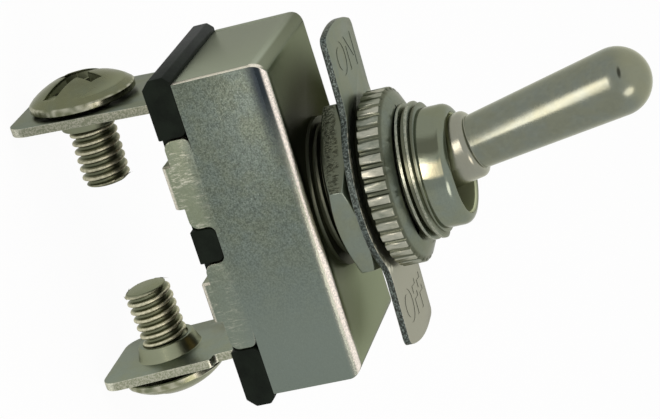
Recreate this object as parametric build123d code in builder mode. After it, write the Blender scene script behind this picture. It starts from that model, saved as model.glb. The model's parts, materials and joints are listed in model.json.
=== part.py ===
"""Panel toggle switch: a bat lever in a threaded bushing over a folded case, with two screw terminals.

Frame, in millimetres: the origin is on the bushing's axis, on the outer face of the case that carries it.
+Z runs up the bushing towards the lever, X along the case, and -Y is the front.
Below the origin, depths are counted down from the case's top face.
The lever leans towards -X, which holds the contacts at +X closed.
"""

import os
from math import acos, atan2, cos, hypot, radians, sin, tan

from build123d import *

os.makedirs("parts", exist_ok=True)

# Folded case, one sheet
sheet = 0.7
side_room = 0.5
end_inset = 2.3
leg_recess = 0.25
side_bend = 1.0
end_bend = 1.3
seam_gap = 0.1
corner_relief = 0.2
notch_radius = 0.6
leg_radius = 0.8
leg_outer = 9.65
leg_inner = 1.65
middle_notch_step = 0.3
ear_bend = 0.1
ear_reach = 2.6
ear_spans = ((-7.4, -3.6), (3.4, 6.9))

# Moulded base
floor_thickness = 2.55
flange_overhang = 0.8
flange_chamfer_low = 0.75
flange_chamfer_high = 0.5
base_clearance = 0.15
cup_wall = 0.8
cup_height = 5.0

# Bushing
bore_clearance = 0.0395
bushing_wall = 1.75
bushing_above_pivot = 6.13
thread_pitch = 0.794
flange_step = 0.55
flange_thickness = 0.3
collar_step = 0.75
collar_height = 2.45
collar_rounding = 0.85
swage_lap = 0.5
swage_height = 0.75
neck_step = 0.05
neck_clearance = 0.03
keyway_width = 2.0
keyway_depth = 0.8
nut_clearance = 0.03

# Nuts and legend plate, from the case upwards
hex_nut_gap = 1.2
hex_nut_wall = 1.2
hex_nut_thickness = 2.25
hex_nut_turn = -105.5
hex_face_inset = 0.15
plate_thickness = 0.6
plate_ring_margin = 0.95
plate_bore_clearance = 0.12
plate_tab_width = 9.2
plate_reach = 14.2
plate_blend = 2.4
plate_corner = 0.8
plate_turn = -6.0
washer_face_step = 0.5
washer_face_height = 0.6
knurl_wall = 1.65
knurl_height = 1.8
knurl_teeth = 40
knurl_groove_depth = 0.3
knurl_groove_width = 0.56
knurl_groove_floor = 0.26
knurl_start = -149.1
knurl_cone_step = 0.25
knurl_cone_height = 0.75

# Lever, measured along its own axis from the pivot
pivot_height = 5.52
rest_lean = 10.7
hub_step = 0.65
hub_top = 7.96
hub_bottom = -2.2
hub_rounding = 0.55
bat_shoulder = 0.59
tip_radius = 2.92
tip_centre = 21.0
tail_wall = 0.75
tail_taper = 1.0
tail_lift = 1.7
tail_bore_radius = 1.55
tail_bore_top = -1.6
pin_radius = 0.8
pin_clearance = 0.04
pin_inset = 0.3

# Plunger and spring
plunger_clearance = 0.05
plunger_hold = 2.0
spring_clearance = 0.225
spring_wire = 0.35
spring_turns = 4
spring_wire_sides = 8
spring_end_gap = 0.02
ball_clearance = 0.13

# Rocker and its bracket
contact_strip = 0.7
rocker_width = 4.6
rocker_tip_margin = 1.4
rocker_bend = 1.0
rocker_corner = 1.0
arm_rise = 14.0
rocker_tilt = 8.0
swing_clearance = 1.13
trunnion_radius = 0.5
trunnion_length = 1.0
trunnion_clearance = 0.05
trunnion_rise = 1.27
bracket_sheet = 0.6
bracket_length = 3.0
bracket_bend = 0.7
bracket_side_gap = 0.3
bracket_ear_rise = 1.9

# Contacts
contact_reach = 5.6
contact_gap = 0.05
button_radius = 1.3
button_height = 0.6
fixed_contact_radius = 1.6
stud_radius = 1.2
rivet_radius = 0.7
rivet_head_radius = 1.2
rivet_head_height = 0.35
rivet_clearance = 0.02

# Terminals
terminal_thickness = 0.8
terminal_splay = 2.4
terminal_bend = 0.3
blade_end_left = 24.75
blade_end_right = 24.45
blade_corner = 1.8
neck_width = 8.0
shoulder_step = 1.0
shoulder_left = 11.4
shoulder_right = 13.7
shoulder_rounding = 0.4
foot_width = 6.6
foot_end_left = 2.3
foot_end_right = 3.9
slot_clearance = 0.1
boss_root_radius = 3.1
boss_top_radius = 2.55
boss_height = 1.25

# Eyelets, between the contacts and the terminals' bends
eyelet_radius = 0.95
eyelet_wall = 0.3
eyelet_head_radius = 1.5
eyelet_head_height = 0.35
eyelet_contact_gap = 0.33
eyelet_bend_gap_left = 0.8
eyelet_bend_gap_right = 0.1

# Terminal screws
screw_depth = 18.95
screw_radius = 2.085
screw_length = 7.6
screw_chamfer = 0.4
screw_clearance = 0.02
screw_head_radius = 4.7
screw_head_height = 2.3
screw_head_rim = 0.6
head_gap_left = 0.25
head_gap_right = 0.5
slot_half_length = 3.8
slot_width = 1.1
slot_depth = 1.1
cross_half_length = 2.6
cross_width = 1.0
cross_depth = 1.5
recess_turn_left = -30.0
recess_turn_right = 20.0

# Places that follow from the sizes above
low_arm = radians(arm_rise - rocker_tilt)
high_arm = radians(arm_rise + rocker_tilt)
contact_x = contact_reach * cos(low_arm)
eyelet_x = contact_x + fixed_contact_radius + eyelet_contact_gap + eyelet_head_radius
bend_x = eyelet_x + eyelet_head_radius + terminal_bend + terminal_thickness / 2
terminal_x_left = -bend_x - eyelet_bend_gap_left
terminal_x_right = bend_x + eyelet_bend_gap_right
half_length = end_inset - terminal_x_left
rocker_reach = contact_reach + rocker_tip_margin
rocker_arm_height = rocker_reach * sin(high_arm) + contact_strip / 2 * cos(high_arm)
tail_radius = tail_bore_radius + tail_wall
hub_radius = tail_radius + hub_step
bat_start_radius = hub_radius - bat_shoulder
hub_swing = bushing_above_pivot * tan(radians(rest_lean)) + hub_radius / cos(radians(rest_lean))
bore_radius = hub_swing + bore_clearance
thread_radius = bore_radius + bushing_wall
flange_radius = thread_radius + flange_step
collar_radius = thread_radius - collar_step
neck_radius = thread_radius - neck_step
swage_radius = neck_radius + swage_lap
half_width = swage_radius + side_room + sheet
bushing_height = pivot_height + bushing_above_pivot
wall_mid = half_width - sheet / 2
end_mid = half_length - sheet / 2
rocker_depth = sheet + swage_height + swing_clearance + rocker_arm_height
base_depth = rocker_depth + trunnion_rise + bracket_sheet + terminal_thickness + floor_thickness
case_depth = base_depth - leg_recess
floor_z = floor_thickness - base_depth
thread_core_radius = thread_radius - 0.325 * thread_pitch
nut_bore_radius = thread_core_radius + nut_clearance
hex_nut_z = flange_thickness + hex_nut_gap
plate_z = hex_nut_z + hex_nut_thickness
knurled_nut_z = plate_z + plate_thickness
hex_flat_radius = thread_radius + hex_nut_wall
hex_face_radius = hex_flat_radius - hex_face_inset
plate_ring_radius = hex_flat_radius + plate_ring_margin
washer_face_radius = thread_radius + washer_face_step
knurl_radius = thread_radius + knurl_wall
knurl_cone_radius = thread_radius + knurl_cone_step
knurl_z = knurled_nut_z + washer_face_height
knurl_cone_z = knurl_z + knurl_height
nut_top_z = knurl_cone_z + knurl_cone_height
collar_z = bushing_height - collar_height
foot_top_z = floor_z + terminal_thickness
bracket_top_z = foot_top_z + bracket_sheet
rocker_z = -rocker_depth
plunger_radius = tail_bore_radius - plunger_clearance
spring_mean_radius = tail_bore_radius - spring_clearance - spring_wire / 2
ball_offset = (plunger_radius + contact_strip / 2 + ball_clearance) / cos(radians(arm_rise))
ball_centre = rocker_z + ball_offset - pivot_height
tail_end = ball_centre + tail_lift
plunger_top = tail_end + plunger_hold
blade_width = neck_width + 2 * shoulder_step


def leaning(x, y, z, outward):
    """A plane at a point of the middle section, facing along outward, with its x axis towards the front."""
    return Plane(origin=(x, y, z), x_dir=(0, -1, 0), z_dir=outward)


def section_along(plane):
    """The plane that holds a facing plane's own axis as its y axis, for turned profiles."""
    return Plane(origin=plane.origin, x_dir=plane.x_dir, z_dir=plane.x_dir.cross(plane.z_dir))


def disc(plane, radius, height, mode=Mode.ADD):
    """A round stud on a plane, added to or cut from the part that is open."""
    with BuildSketch(plane) as outline:
        Circle(radius)
    extrude(outline.sketch, amount=height, mode=mode)


def folded(plane, points, radii, thickness, width):
    """A strip of sheet bent along a line in a plane, as wide as given on both sides of it together."""
    with BuildSketch(plane) as outline:
        with BuildLine():
            FilletPolyline(*points, radius=radii)
        trace(line_width=thickness)
    extrude(outline.sketch, amount=width / 2, both=True)


# Case: sheet pressed to an open box whose bends meet at the corners, open seams down the corners, and legs
def boxed(inset, mode):
    """A block as large as the case less an inset all round, with the case's bends, added or cut."""
    length = 2 * (half_length - inset)
    width = 2 * (half_width - inset)
    depth = -floor_z - inset
    with BuildSketch(Plane.XZ, mode=Mode.PRIVATE) as long_way:
        with Locations((0, -inset)):
            Rectangle(length, depth, align=(Align.CENTER, Align.MAX))
        fillet(vertices().group_by(Axis.Y)[-1], radius=end_bend - inset)
    with BuildSketch(Plane.YZ, mode=Mode.PRIVATE) as short_way:
        with Locations((0, -inset)):
            Rectangle(width, depth, align=(Align.CENTER, Align.MAX))
        fillet(vertices().group_by(Axis.Y)[-1], radius=side_bend - inset)
    bent_long = extrude(long_way.sketch, amount=width / 2, both=True, mode=Mode.PRIVATE)
    bent_short = extrude(short_way.sketch, amount=length / 2, both=True, mode=Mode.PRIVATE)
    add(bent_long & bent_short, mode=mode)


seam_top = -end_bend - corner_relief
leg_mid = (leg_outer + leg_inner) / 2
with BuildPart() as case:
    boxed(0, Mode.ADD)
    boxed(sheet, Mode.SUBTRACT)
    with BuildSketch(Plane.XY.offset(floor_z)):
        with GridLocations(2 * end_mid, 2 * (half_width - sheet) - seam_gap, 2, 2):
            Rectangle(sheet, seam_gap)
    extrude(amount=seam_top - floor_z, mode=Mode.SUBTRACT)
    with BuildSketch(Plane.XZ.offset(half_width)):
        with Locations((0, floor_z)):
            Rectangle(2 * leg_outer, middle_notch_step, align=(Align.CENTER, Align.MAX))
        with Locations((-leg_mid, floor_z), (leg_mid, floor_z)):
            Rectangle(leg_outer - leg_inner, case_depth + floor_z, align=(Align.CENTER, Align.MAX))
        fillet(vertices().group_by(Axis.Y)[0], radius=leg_radius)
        step_corners = vertices().filter_by_position(Axis.Y, floor_z - middle_notch_step, floor_z)
        fillet(step_corners.filter_by_position(Axis.X, -leg_outer, leg_outer), radius=notch_radius)
    extrude(amount=-sheet)
    for ear_start, ear_end in ear_spans:
        ear_z = -base_depth - sheet / 2
        ear_points = ((-wall_mid, floor_z), (-wall_mid, ear_z), (ear_reach - half_width, ear_z))
        ear_plane = Plane.YZ.offset((ear_start + ear_end) / 2)
        folded(ear_plane, ear_points, ear_bend + sheet / 2, sheet, ear_end - ear_start)
    mirror(about=Plane.XZ)
    disc(Plane.XY, neck_radius + neck_clearance, -2 * sheet, Mode.SUBTRACT)
case.part.label = "case"
export_step(case.part, "parts/case.step")

# Terminals and their screws: one of each at either end
sides = {
    "left": (-1, terminal_x_left, foot_end_left, shoulder_left, blade_end_left, head_gap_left,
             recess_turn_left),
    "right": (1, terminal_x_right, foot_end_right, shoulder_right, blade_end_right, head_gap_right,
              recess_turn_right),
}
splay_out = sin(radians(terminal_splay))
splay_down = cos(radians(terminal_splay))
foot_rivets = {"left": (-contact_x, 0), "right": (contact_x,)}
for name, (side, terminal_x, foot_end, shoulder, blade_end, head_gap, recess_turn) in sides.items():
    blade_run = blade_end - base_depth
    screw_run = (screw_depth - base_depth) / splay_down
    screw_x = terminal_x + side * splay_out * screw_run
    hole = leaning(screw_x, 0, -screw_depth, (side * splay_down, 0, splay_out))
    boss_end = hole.offset(-terminal_thickness / 2 - boss_height)
    blade_tip_x = terminal_x + side * blade_run * splay_out / splay_down
    foot_mid_z = floor_z + terminal_thickness / 2
    with BuildPart() as terminal:
        path = ((foot_end, foot_mid_z), (terminal_x, foot_mid_z), (terminal_x, -base_depth),
                (blade_tip_x, -blade_end))
        radii = (terminal_bend + terminal_thickness / 2, 2 * terminal_thickness)
        folded(Plane.XZ, path, radii, terminal_thickness, blade_width)
        with BuildSketch(Plane.YZ):
            with Locations((0, foot_top_z)):
                Rectangle(foot_width, foot_top_z - floor_z, align=(Align.CENTER, Align.MAX))
            with Locations((0, floor_z)):
                Rectangle(neck_width, floor_z + shoulder, align=(Align.CENTER, Align.MAX))
            with Locations((0, -shoulder)):
                Rectangle(blade_width, blade_end - shoulder, align=(Align.CENTER, Align.MAX))
            fillet(vertices().group_by(Axis.Y)[0], radius=blade_corner)
            corners = vertices().filter_by_position(Axis.Y, -shoulder - 0.01, -shoulder + 0.01)
            fillet(corners, radius=shoulder_rounding)
        extrude(amount=2 * half_length, both=True, mode=Mode.INTERSECT)
        with BuildSketch(hole):
            Circle(boss_root_radius)
        with BuildSketch(boss_end):
            Circle(boss_top_radius)
        loft()
        disc(boss_end, screw_radius + screw_clearance, boss_height + terminal_thickness, Mode.SUBTRACT)
        disc(Plane((side * eyelet_x, 0, floor_z)), eyelet_radius + rivet_clearance, 2 * terminal_thickness,
             Mode.SUBTRACT)
        for rivet_x in foot_rivets[name]:
            disc(Plane((rivet_x, 0, floor_z)), rivet_radius + rivet_clearance, 2 * terminal_thickness,
                 Mode.SUBTRACT)
    terminal.part.label = f"terminal_{name}"
    export_step(terminal.part, f"parts/terminal_{name}.step")

    seat = terminal_thickness / 2 + head_gap
    with BuildPart() as screw:
        with BuildSketch(section_along(hole)):
            with BuildLine():
                rim_top = (screw_head_radius, seat + screw_head_rim)
                crown = (0, seat + screw_head_height)
                dome = screw_head_height - screw_head_rim
                dome_radius = (screw_head_radius**2 + dome**2) / (2 * dome)
                Polyline(crown, (0, seat - screw_length), (screw_radius - screw_chamfer, seat - screw_length),
                         (screw_radius, seat - screw_length + screw_chamfer), (screw_radius, seat),
                         (screw_head_radius, seat), rim_top)
                RadiusArc(rim_top, crown, -dome_radius)
            make_face()
        revolve(axis=Axis(hole.origin, hole.z_dir))
        with BuildSketch(hole.offset(seat + screw_head_height)):
            Rectangle(2 * slot_half_length, slot_width, rotation=recess_turn)
        extrude(amount=-slot_depth, mode=Mode.SUBTRACT)
        with BuildSketch(hole.offset(seat + screw_head_height)):
            Rectangle(2 * cross_half_length, cross_width, rotation=recess_turn)
            Rectangle(cross_width, 2 * cross_half_length, rotation=recess_turn)
        extrude(amount=-cross_depth, mode=Mode.SUBTRACT)
    screw.part.label = f"terminal_screw_{name}"
    export_step(screw.part, f"parts/terminal_screw_{name}.step")

    bore = eyelet_radius - eyelet_wall
    with BuildPart() as eyelet:
        with BuildSketch(Plane.XZ):
            with BuildLine():
                head_base = foot_top_z
                head_top = foot_top_z + eyelet_head_height
                foot_base = -base_depth
                foot_bottom = -base_depth - eyelet_head_height
                Polyline((bore, foot_bottom), (eyelet_head_radius - 0.1, foot_bottom),
                         (eyelet_head_radius, foot_base), (eyelet_radius, foot_base),
                         (eyelet_radius, head_base), (eyelet_head_radius, head_base),
                         (eyelet_head_radius - 0.1, head_top), (bore, head_top), close=True)
            make_face()
        revolve(axis=Axis.Z)
    eyelet_placed = Pos(side * eyelet_x, 0, 0) * eyelet.part
    eyelet_placed.label = f"eyelet_{name}"
    export_step(eyelet_placed, f"parts/eyelet_{name}.step")

# Base: floor with end flanges and tabs, pockets for the case's legs, and a cup inside the case
pocket_depth = sheet + base_clearance
base_reach = half_length + flange_overhang
with BuildPart() as base:
    with BuildSketch(Plane.XY.offset(-base_depth)):
        Rectangle(2 * base_reach, 2 * half_width)
        with GridLocations(2 * leg_mid, 2 * half_width, 2, 2):
            Rectangle(leg_outer - leg_inner + 2 * base_clearance, 2 * pocket_depth, mode=Mode.SUBTRACT)
    extrude(amount=floor_thickness)
    flange_edges = edges().filter_by(Axis.Y).filter_by(lambda edge: abs(edge.center().X) > base_reach - 0.01)
    chamfer(flange_edges.group_by(Axis.Z)[0], length=flange_chamfer_low)
    chamfer(flange_edges.group_by(Axis.Z)[-1], length=flange_chamfer_high)
    with BuildSketch(Plane.XY.offset(floor_z)):
        with Locations((0, half_width), (0, -half_width)):
            Rectangle(2 * (leg_outer + base_clearance), 2 * pocket_depth)
    extrude(amount=-middle_notch_step, mode=Mode.SUBTRACT)
    tab_edges = edges().filter_by(Axis.Y).filter_by(lambda edge: edge.length < pocket_depth + 0.01)
    tab_tops = tab_edges.filter_by_position(Axis.Z, floor_z - middle_notch_step, floor_z)
    fillet(tab_tops, radius=notch_radius)
    with BuildSketch(Plane.XY.offset(floor_z)):
        cup_length = 2 * (half_length - sheet - base_clearance)
        cup_width = 2 * (half_width - pocket_depth)
        Rectangle(cup_length, cup_width)
        Rectangle(cup_length - 2 * cup_wall, cup_width - 2 * cup_wall, mode=Mode.SUBTRACT)
    extrude(amount=cup_height)
    with BuildSketch(Plane.XY.offset(-base_depth)):
        for side, terminal_x in ((-1, terminal_x_left), (1, terminal_x_right)):
            slot_outer = terminal_x + side * (terminal_thickness / 2 + slot_clearance)
            slot_inner = terminal_x - side * (terminal_thickness / 2 + terminal_bend + slot_clearance)
            with Locations(((slot_outer + slot_inner) / 2, 0)):
                Rectangle(abs(slot_outer - slot_inner), neck_width + 2 * slot_clearance)
            with Locations((side * eyelet_x, 0)):
                Circle(eyelet_radius + rivet_clearance)
    extrude(amount=floor_thickness, mode=Mode.SUBTRACT)
base.part.label = "base"
export_step(base.part, "parts/base.step")

# Bushing, turned in one piece, with the thread's exposed stretch at its full radius
exposed_z = nut_top_z + seam_gap / 2
with BuildPart() as bushing:
    with BuildSketch(Plane.XZ):
        with BuildLine():
            Polyline((bore_radius, -sheet - swage_height), (swage_radius, -sheet - swage_height),
                     (swage_radius, -sheet), (neck_radius, -sheet), (neck_radius, 0), (flange_radius, 0),
                     (flange_radius, flange_thickness), (thread_core_radius, flange_thickness),
                     (thread_core_radius, exposed_z), (thread_radius, exposed_z), (thread_radius, collar_z),
                     (collar_radius, collar_z), (collar_radius, bushing_height),
                     (bore_radius, bushing_height), close=True)
        make_face()
        outer_corner = vertices().group_by(Axis.Y)[-1].sort_by(Axis.X)[-1]
        fillet(outer_corner, radius=min(collar_rounding, collar_radius - bore_radius - 0.1))
    revolve(axis=Axis.Z)
    with BuildSketch(Plane.XY.offset(flange_thickness)):
        with Locations((thread_radius, 0)):
            Rectangle(2 * keyway_depth, keyway_width)
    extrude(amount=collar_z - flange_thickness, mode=Mode.SUBTRACT)
    with BuildSketch(Plane.XZ):
        with Locations((0, pivot_height)):
            Circle(pin_radius)
    extrude(amount=thread_radius, both=True, mode=Mode.SUBTRACT)
bushing.part.label = "bushing"
export_step(bushing.part, "parts/bushing.step")

# Hexagon nut, its corners cut by a cone on both faces
with BuildPart() as hex_nut:
    with BuildSketch(Plane.XY.offset(hex_nut_z)):
        RegularPolygon(hex_flat_radius, 6, major_radius=False, rotation=hex_nut_turn)
    extrude(amount=hex_nut_thickness)
    corner_radius = hex_flat_radius / cos(radians(30))
    corner_drop = (corner_radius - hex_face_radius) * tan(radians(25))
    with BuildSketch(Plane.XZ):
        with BuildLine():
            Polyline((0, hex_nut_z), (hex_face_radius, hex_nut_z), (corner_radius, hex_nut_z + corner_drop),
                     (corner_radius, plate_z - corner_drop), (hex_face_radius, plate_z), (0, plate_z),
                     close=True)
        make_face()
    revolve(axis=Axis.Z, mode=Mode.INTERSECT)
    disc(Plane.XY.offset(hex_nut_z), nut_bore_radius, hex_nut_thickness, Mode.SUBTRACT)
hex_nut.part.label = "hex_nut"
export_step(hex_nut.part, "parts/hex_nut.step")

# Legend plate: a ring with two tabs whose ends follow one circle, clamped a little turned
with BuildPart() as legend_plate:
    with BuildSketch(Plane.XY.offset(plate_z).rotated((0, 0, plate_turn))):
        Rectangle(2 * plate_reach, plate_tab_width)
        Circle(plate_reach, mode=Mode.INTERSECT)
        fillet(vertices(), radius=plate_corner)
        Circle(plate_ring_radius)
        on_ring = plate_ring_radius + 0.01
        fillet(vertices().filter_by(lambda corner: hypot(corner.X, corner.Y) < on_ring), radius=plate_blend)
        Circle(thread_radius + plate_bore_clearance, mode=Mode.SUBTRACT)
    extrude(amount=plate_thickness)
legend_plate.part.label = "legend_plate"
export_step(legend_plate.part, "parts/legend_plate.step")

# Knurled nut: washer face, toothed rim and cone
with BuildPart() as knurled_nut:
    groove_floor = knurl_radius - knurl_groove_depth
    with BuildSketch(Plane.XZ):
        with BuildLine():
            Polyline((nut_bore_radius, knurled_nut_z), (washer_face_radius, knurled_nut_z),
                     (washer_face_radius, knurl_z), (knurl_radius, knurl_z), (knurl_radius, knurl_cone_z),
                     (knurl_cone_radius, nut_top_z), (nut_bore_radius, nut_top_z), close=True)
        make_face()
    revolve(axis=Axis.Z)
    with BuildSketch(Plane.XY.offset(knurl_z)):
        with PolarLocations(knurl_radius, knurl_teeth, start_angle=knurl_start + 180 / knurl_teeth):
            Polygon((-knurl_groove_depth, -knurl_groove_floor / 2), (0, -knurl_groove_width / 2),
                    (0.1, -knurl_groove_width / 2), (0.1, knurl_groove_width / 2), (0, knurl_groove_width / 2),
                    (-knurl_groove_depth, knurl_groove_floor / 2), align=None)
    extrude(amount=nut_top_z - knurl_z, mode=Mode.SUBTRACT)
knurled_nut.part.label = "knurled_nut"
export_step(knurled_nut.part, "parts/knurled_nut.step")

# Cross pin that the lever turns on
pin_half_length = thread_core_radius - pin_inset
with BuildPart() as pivot_pin:
    with BuildSketch(Plane.XZ):
        with Locations((0, pivot_height)):
            Circle(pin_radius)
    extrude(amount=pin_half_length, both=True)
pivot_pin.part.label = "pivot_pin"
export_step(pivot_pin.part, "parts/pivot_pin.step")

# Lever: hub, tapered bat that runs smoothly into its round tip, and hollow tail
lever_up = Vector(-sin(radians(rest_lean)), 0, cos(radians(rest_lean)))
lever_side = Vector(cos(radians(rest_lean)), 0, sin(radians(rest_lean)))
lever_plane = Plane(origin=(0, 0, pivot_height), x_dir=lever_side, z_dir=(0, -1, 0))
lever_axis = Axis((0, 0, pivot_height), lever_up)
start_angle = atan2(hub_top - tip_centre, bat_start_radius)
meet_angle = start_angle + acos(tip_radius / hypot(bat_start_radius, tip_centre - hub_top))
half_way = (meet_angle + radians(90)) / 2
tip_start = (tip_radius * cos(meet_angle), tip_centre + tip_radius * sin(meet_angle))
tip_middle = (tip_radius * cos(half_way), tip_centre + tip_radius * sin(half_way))
tip_end = (0, tip_centre + tip_radius)
with BuildPart() as lever:
    with BuildSketch(lever_plane):
        with BuildLine():
            Polyline(tip_end, (0, tail_bore_top), (tail_bore_radius, tail_bore_top),
                     (tail_bore_radius, tail_end), (tail_radius, tail_end),
                     (tail_radius, hub_bottom - tail_taper), (hub_radius, hub_bottom),
                     (hub_radius, hub_top), (bat_start_radius, hub_top), tip_start)
            ThreePointArc(tip_start, tip_middle, tip_end)
        make_face()
        hub_corner = vertices().filter_by(lambda corner: abs(corner.Y - hub_top) < 0.01).sort_by(Axis.X)[-1]
        fillet(hub_corner, radius=hub_rounding)
    revolve(axis=lever_axis)
    with BuildSketch(lever_plane):
        Circle(pin_radius + pin_clearance)
    extrude(amount=2 * hub_radius, both=True, mode=Mode.SUBTRACT)
lever.part.label = "lever"
export_step(lever.part, "parts/lever.step")

# Spring in the lever's tail, its wire eight-sided to keep the mesh light
spring_top = tail_bore_top - spring_end_gap - spring_wire / 2
spring_bottom = plunger_top + spring_end_gap + spring_wire / 2
with BuildPart() as spring:
    with BuildLine() as coil:
        Helix(pitch=(spring_top - spring_bottom) / spring_turns, height=spring_top - spring_bottom,
              radius=spring_mean_radius, center=lever_axis.position + lever_up * spring_bottom,
              direction=lever_up)
    with BuildSketch(Plane(origin=coil.line @ 0, z_dir=coil.line % 0)):
        RegularPolygon(spring_wire / 2, spring_wire_sides)
    sweep()
spring.part.label = "spring"
export_step(spring.part, "parts/spring.step")

# Plunger, its round end just clear of the rocker's arms
with BuildPart() as plunger:
    with BuildSketch(lever_plane):
        with BuildLine():
            Polyline((0, ball_centre - plunger_radius), (0, plunger_top), (plunger_radius, plunger_top),
                     (plunger_radius, ball_centre))
            RadiusArc((plunger_radius, ball_centre), (0, ball_centre - plunger_radius), plunger_radius)
        make_face()
    revolve(axis=lever_axis)
plunger.part.label = "plunger"
export_step(plunger.part, "parts/plunger.step")

# Rocker: a strip bent to a shallow V, with a round trunnion on either side, stored tilted to +X
arm_plane = leaning(contact_x, 0, rocker_z + contact_reach * sin(low_arm), (sin(low_arm), 0, -cos(low_arm)))
with BuildPart() as rocker:
    arm_points = ((-rocker_reach * cos(high_arm), rocker_z + rocker_reach * sin(high_arm)), (0, rocker_z),
                  (rocker_reach * cos(low_arm), rocker_z + rocker_reach * sin(low_arm)))
    folded(Plane.XZ, arm_points, rocker_bend, contact_strip, rocker_width)
    with BuildSketch(Plane.XY.offset(-base_depth)):
        RectangleRounded(2 * rocker_reach, rocker_width, rocker_corner)
    extrude(amount=base_depth, mode=Mode.INTERSECT)
    with BuildSketch(Plane.XZ.offset(rocker_width / 2)):
        with Locations((0, rocker_z)):
            Circle(trunnion_radius)
    extrude(amount=trunnion_length)
    mirror(about=Plane.XZ)
    disc(arm_plane.offset(-contact_strip), rivet_radius + rivet_clearance, 2 * contact_strip, Mode.SUBTRACT)
rocker.part.label = "rocker"
export_step(rocker.part, "parts/rocker.step")

# Contact button riveted through the rocker's arm
with BuildPart() as moving_contact:
    disc(arm_plane.offset(-contact_strip / 2), rivet_radius, contact_strip)
    disc(arm_plane.offset(contact_strip / 2), button_radius, button_height)
moving_contact.part.label = "moving_contact"
export_step(moving_contact.part, "parts/moving_contact.step")

# Fixed contact and rest stud, riveted to the terminals' feet and just clear of the rocker
button_low = (contact_strip / 2 + button_height) * cos(low_arm) + button_radius * sin(low_arm)
fixed_contact_top = rocker_z + contact_reach * sin(low_arm) - button_low - contact_gap
stud_near_x = contact_x - stud_radius
stud_top = rocker_z + stud_near_x * tan(low_arm) - contact_strip / 2 / cos(low_arm) - contact_gap
studs = {
    "fixed_contact": (contact_x, fixed_contact_radius, fixed_contact_top),
    "rest_stud": (-contact_x, stud_radius, stud_top),
}
for name, (stud_x, radius, top) in studs.items():
    with BuildPart() as stud:
        disc(Plane((stud_x, 0, floor_z)), rivet_radius, terminal_thickness)
        disc(Plane((stud_x, 0, foot_top_z)), radius, top - foot_top_z)
    stud.part.label = name
    export_step(stud.part, f"parts/{name}.step")

# Bracket: a U of sheet with an open notch in each ear for the rocker's trunnions
ear_mid = rocker_width / 2 + bracket_side_gap + bracket_sheet / 2
ear_top = rocker_z + bracket_ear_rise - trunnion_rise
bracket_mid_z = foot_top_z + bracket_sheet / 2
with BuildPart() as pivot_bracket:
    bracket_points = ((-ear_mid, ear_top), (-ear_mid, bracket_mid_z), (ear_mid, bracket_mid_z),
                      (ear_mid, ear_top))
    folded(Plane.YZ, bracket_points, bracket_bend, bracket_sheet, bracket_length)
    with BuildSketch(Plane.XZ):
        with Locations((0, rocker_z)):
            Circle(trunnion_radius + trunnion_clearance)
            Rectangle(2 * (trunnion_radius + trunnion_clearance), ear_top - rocker_z,
                      align=(Align.CENTER, Align.MIN))
    extrude(amount=half_width, both=True, mode=Mode.SUBTRACT)
    disc(Plane((0, 0, foot_top_z)), rivet_radius + rivet_clearance, bracket_sheet, Mode.SUBTRACT)
pivot_bracket.part.label = "pivot_bracket"
export_step(pivot_bracket.part, "parts/pivot_bracket.step")

# Rivet that holds the bracket to the left terminal's foot
with BuildPart() as bracket_rivet:
    disc(Plane((0, 0, floor_z)), rivet_radius, bracket_top_z - floor_z)
    disc(Plane((0, 0, bracket_top_z)), rivet_head_radius, rivet_head_height)
bracket_rivet.part.label = "bracket_rivet"
export_step(bracket_rivet.part, "parts/bracket_rivet.step")
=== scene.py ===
"""Panel toggle switch, finished for the studio: threads, stamped legends, softened edges and plated metals.

Laid out as an add-on. Every piece stands in the frame's own place, in metres. Sizes are given in
millimetres, which mm turns into metres.
"""

import json
from math import acos, atan2, cos, hypot, pi, radians, sin, tan

import bpy
from bpy.props import FloatProperty, FloatVectorProperty, PointerProperty
from mathutils import Matrix, Vector


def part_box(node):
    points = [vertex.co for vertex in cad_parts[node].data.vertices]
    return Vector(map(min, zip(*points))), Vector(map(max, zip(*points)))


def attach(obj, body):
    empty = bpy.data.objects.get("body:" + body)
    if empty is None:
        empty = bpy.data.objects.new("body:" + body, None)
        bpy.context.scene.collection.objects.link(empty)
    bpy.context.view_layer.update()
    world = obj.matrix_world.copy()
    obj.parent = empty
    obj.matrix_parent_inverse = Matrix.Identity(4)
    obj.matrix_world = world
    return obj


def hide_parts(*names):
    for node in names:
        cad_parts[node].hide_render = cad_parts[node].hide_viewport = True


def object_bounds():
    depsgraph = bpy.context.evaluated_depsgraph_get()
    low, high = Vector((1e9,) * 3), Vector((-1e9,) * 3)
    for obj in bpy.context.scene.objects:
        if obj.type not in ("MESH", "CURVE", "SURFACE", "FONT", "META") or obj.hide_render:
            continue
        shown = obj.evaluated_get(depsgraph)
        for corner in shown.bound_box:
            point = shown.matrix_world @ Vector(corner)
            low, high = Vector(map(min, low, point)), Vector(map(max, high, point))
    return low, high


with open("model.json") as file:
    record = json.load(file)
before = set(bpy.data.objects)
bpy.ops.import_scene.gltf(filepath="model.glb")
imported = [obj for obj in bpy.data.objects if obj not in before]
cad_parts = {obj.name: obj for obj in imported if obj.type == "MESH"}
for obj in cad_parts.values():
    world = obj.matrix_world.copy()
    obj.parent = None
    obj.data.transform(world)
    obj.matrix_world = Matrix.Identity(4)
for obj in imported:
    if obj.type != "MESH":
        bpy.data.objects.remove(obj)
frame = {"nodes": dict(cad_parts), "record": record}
cad_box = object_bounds()

bl_info = {
    "name": "Panel toggle switch",
    "version": (1, 0, 0),
    "blender": (4, 5, 0),
    "location": "View3D > Sidebar > Toggle Switch",
    "description": "Models and finishes a panel toggle switch around its fixed frame",
    "category": "Object",
}

# Sizes below are in millimetres and angles in degrees, unless they are turned to metres or radians here.
mm = 0.001
fine_merge = 0.002 * mm
round_steps = 72
small_round_steps = 48
smooth_angle = 35.0
quarter_turn = [radians(turn) for turn in range(0, 91, 15)]

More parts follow.
